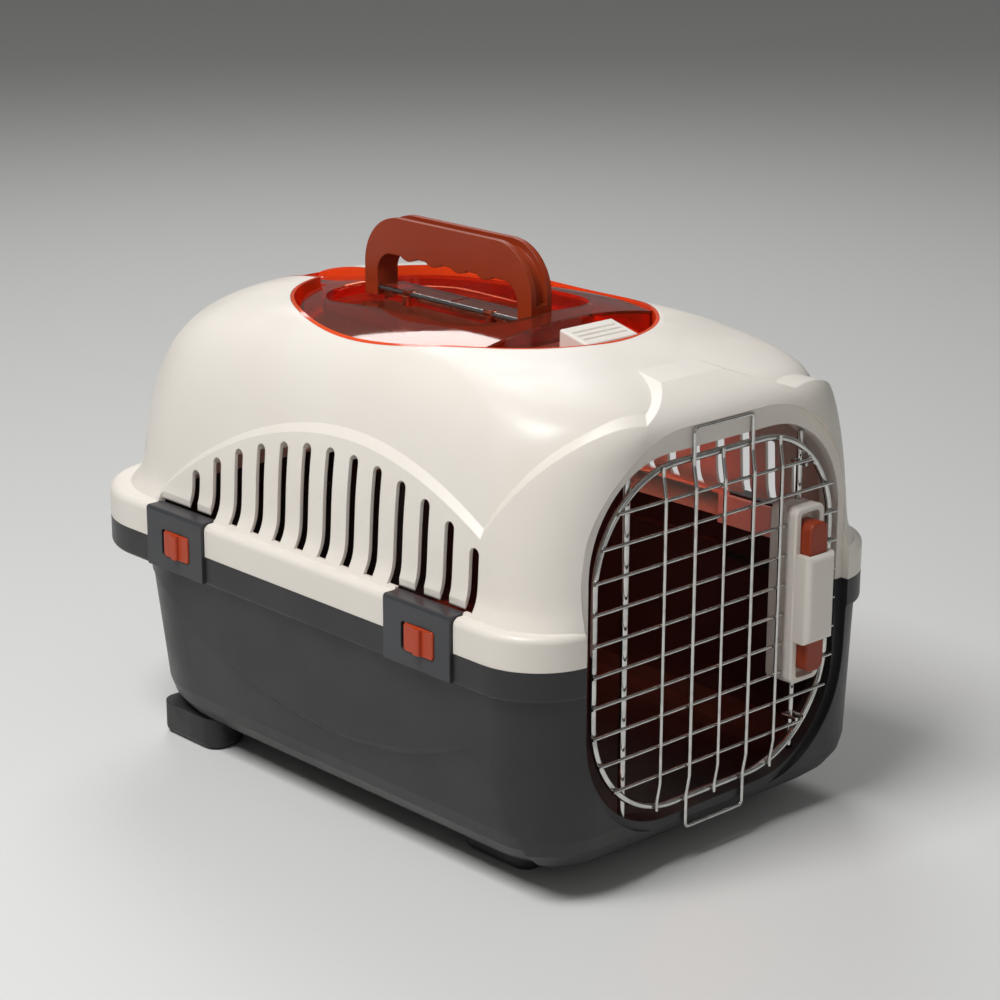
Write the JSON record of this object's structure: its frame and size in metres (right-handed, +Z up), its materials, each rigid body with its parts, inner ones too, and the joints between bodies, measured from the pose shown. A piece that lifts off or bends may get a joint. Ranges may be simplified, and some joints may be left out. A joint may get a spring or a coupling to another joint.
{
  "type": "hard pet carrier",
  "caption": "Two-shell hard plastic pet carrier with a swinging wire door, slotted side vents, hinged side clips, a clear hinged roof lid and a folding carry handle.",
  "frame": {"origin": "middle of the carrier's length and width, on the floor under the feet", "axes": "+Z up, door towards -Y, +X to the right of someone behind the carrier who looks towards the door's back"},
  "size_m": [0.3312, 0.4822, 0.364],
  "materials": {
    "cream_shell": "satin moulded",
    "dark_tub": "satin moulded",
    "foot_rubber": "matt moulded",
    "red_clear": "clear tinted",
    "brown_clear": "clear tinted",
    "pin_steel": "drawn wire",
    "white_catch": "satin moulded",
    "red_brown": "satin moulded",
    "door_chrome": "bright plated",
    "cream_case": "satin moulded",
    "dark_clip": "satin moulded",
    "red_knob": "satin moulded"
  },
  "bodies": {
    "carrier": {"top_shell": "cream_shell", "base_tub": "dark_tub", "feet": "foot_rubber", "skylight_frame": "red_clear", "lid_hinge_pin": "pin_steel", "clip_pins": "pin_steel"},
    "door": {"door_ring": "door_chrome", "door_cross_wires": "door_chrome", "door_upright_wires": "door_chrome", "door_stop_loop": "door_chrome", "door_hinge_rod": "door_chrome", "door_bolt_guides": "door_chrome", "latch_housing": "cream_case", "latch_back_plate": "cream_case", "latch_spring": "pin_steel"},
    "upper_latch": {"upper_button": "red_brown", "upper_bolt": "door_chrome"},
    "lower_latch": {"lower_button": "red_brown", "lower_bolt": "door_chrome"},
    "lid": {"skylight_lid": "brown_clear", "handle_rod": "pin_steel"},
    "handle": {"handle": "red_brown"},
    "lid_latch": {"lid_latch": "white_catch"},
    "left_front_clip": {"clip_left_front": "dark_clip"},
    "left_rear_clip": {"clip_left_rear": "dark_clip"},
    "right_front_clip": {"clip_right_front": "dark_clip"},
    "right_rear_clip": {"clip_right_rear": "dark_clip"},
    "left_front_knob": {"knob_left_front": "red_knob"},
    "left_rear_knob": {"knob_left_rear": "red_knob"},
    "right_front_knob": {"knob_right_front": "red_knob"},
    "right_rear_knob": {"knob_right_rear": "red_knob"}
  },
  "joints": [
    {"name": "door_swing", "type": "hinge", "parent": "carrier", "child": "door", "pos_m": [-0.075, -0.2131, 0.155], "axis": [0, 0, -1], "range_deg": [0, 95]},
    {"name": "upper_button_slide", "type": "slide", "parent": "door", "child": "upper_latch", "axis": [0, 0, 1], "range_m": [-0.003, 0.004], "stiffness_N_per_m": 300, "deforming": ["latch_spring"]},
    {"name": "lower_button_slide", "type": "slide", "parent": "door", "child": "lower_latch", "axis": [0, 0, -1], "range_m": [-0.003, 0.004], "stiffness_N_per_m": 300, "deforming": ["latch_spring"]},
    {"name": "lid_hinge", "type": "hinge", "parent": "carrier", "child": "lid", "pos_m": [0, 0.181, 0.2991], "axis": [-1, 0, 0], "range_deg": [0, 100]},
    {"name": "handle_fold", "type": "hinge", "parent": "lid", "child": "handle", "pos_m": [-0.0062, 0.02, 0.3135], "axis": [0, -1, 0], "range_deg": [0, 70]},
    {"name": "lid_latch_slide", "type": "slide", "parent": "carrier", "child": "lid_latch", "axis": [0, 1, 0], "range_m": [0, 0.008]},
    {"name": "left_front_clip_swing", "type": "hinge", "parent": "carrier", "child": "left_front_clip", "pos_m": [-0.157, -0.1241, 0.139], "axis": [0, -1, 0], "range_deg": [0, 80]},
    {"name": "left_rear_clip_swing", "type": "hinge", "parent": "carrier", "child": "left_rear_clip", "pos_m": [-0.157, 0.1203, 0.139], "axis": [0, -1, 0], "range_deg": [0, 80]},
    {"name": "right_front_clip_swing", "type": "hinge", "parent": "carrier", "child": "right_front_clip", "pos_m": [0.157, -0.1241, 0.139], "axis": [0, 1, 0], "range_deg": [0, 80]},
    {"name": "right_rear_clip_swing", "type": "hinge", "parent": "carrier", "child": "right_rear_clip", "pos_m": [0.157, 0.1203, 0.139], "axis": [0, 1, 0], "range_deg": [0, 80]},
    {"name": "left_front_knob_slide", "type": "slide", "parent": "left_front_clip", "child": "left_front_knob", "axis": [0, 1, 0], "range_m": [0, 0.003]},
    {"name": "left_rear_knob_slide", "type": "slide", "parent": "left_rear_clip", "child": "left_rear_knob", "axis": [0, 1, 0], "range_m": [0, 0.003]},
    {"name": "right_front_knob_slide", "type": "slide", "parent": "right_front_clip", "child": "right_front_knob", "axis": [0, 1, 0], "range_m": [0, 0.003]},
    {"name": "right_rear_knob_slide", "type": "slide", "parent": "right_rear_clip", "child": "right_rear_knob", "axis": [0, 1, 0], "range_m": [0, 0.003]}
  ]
}
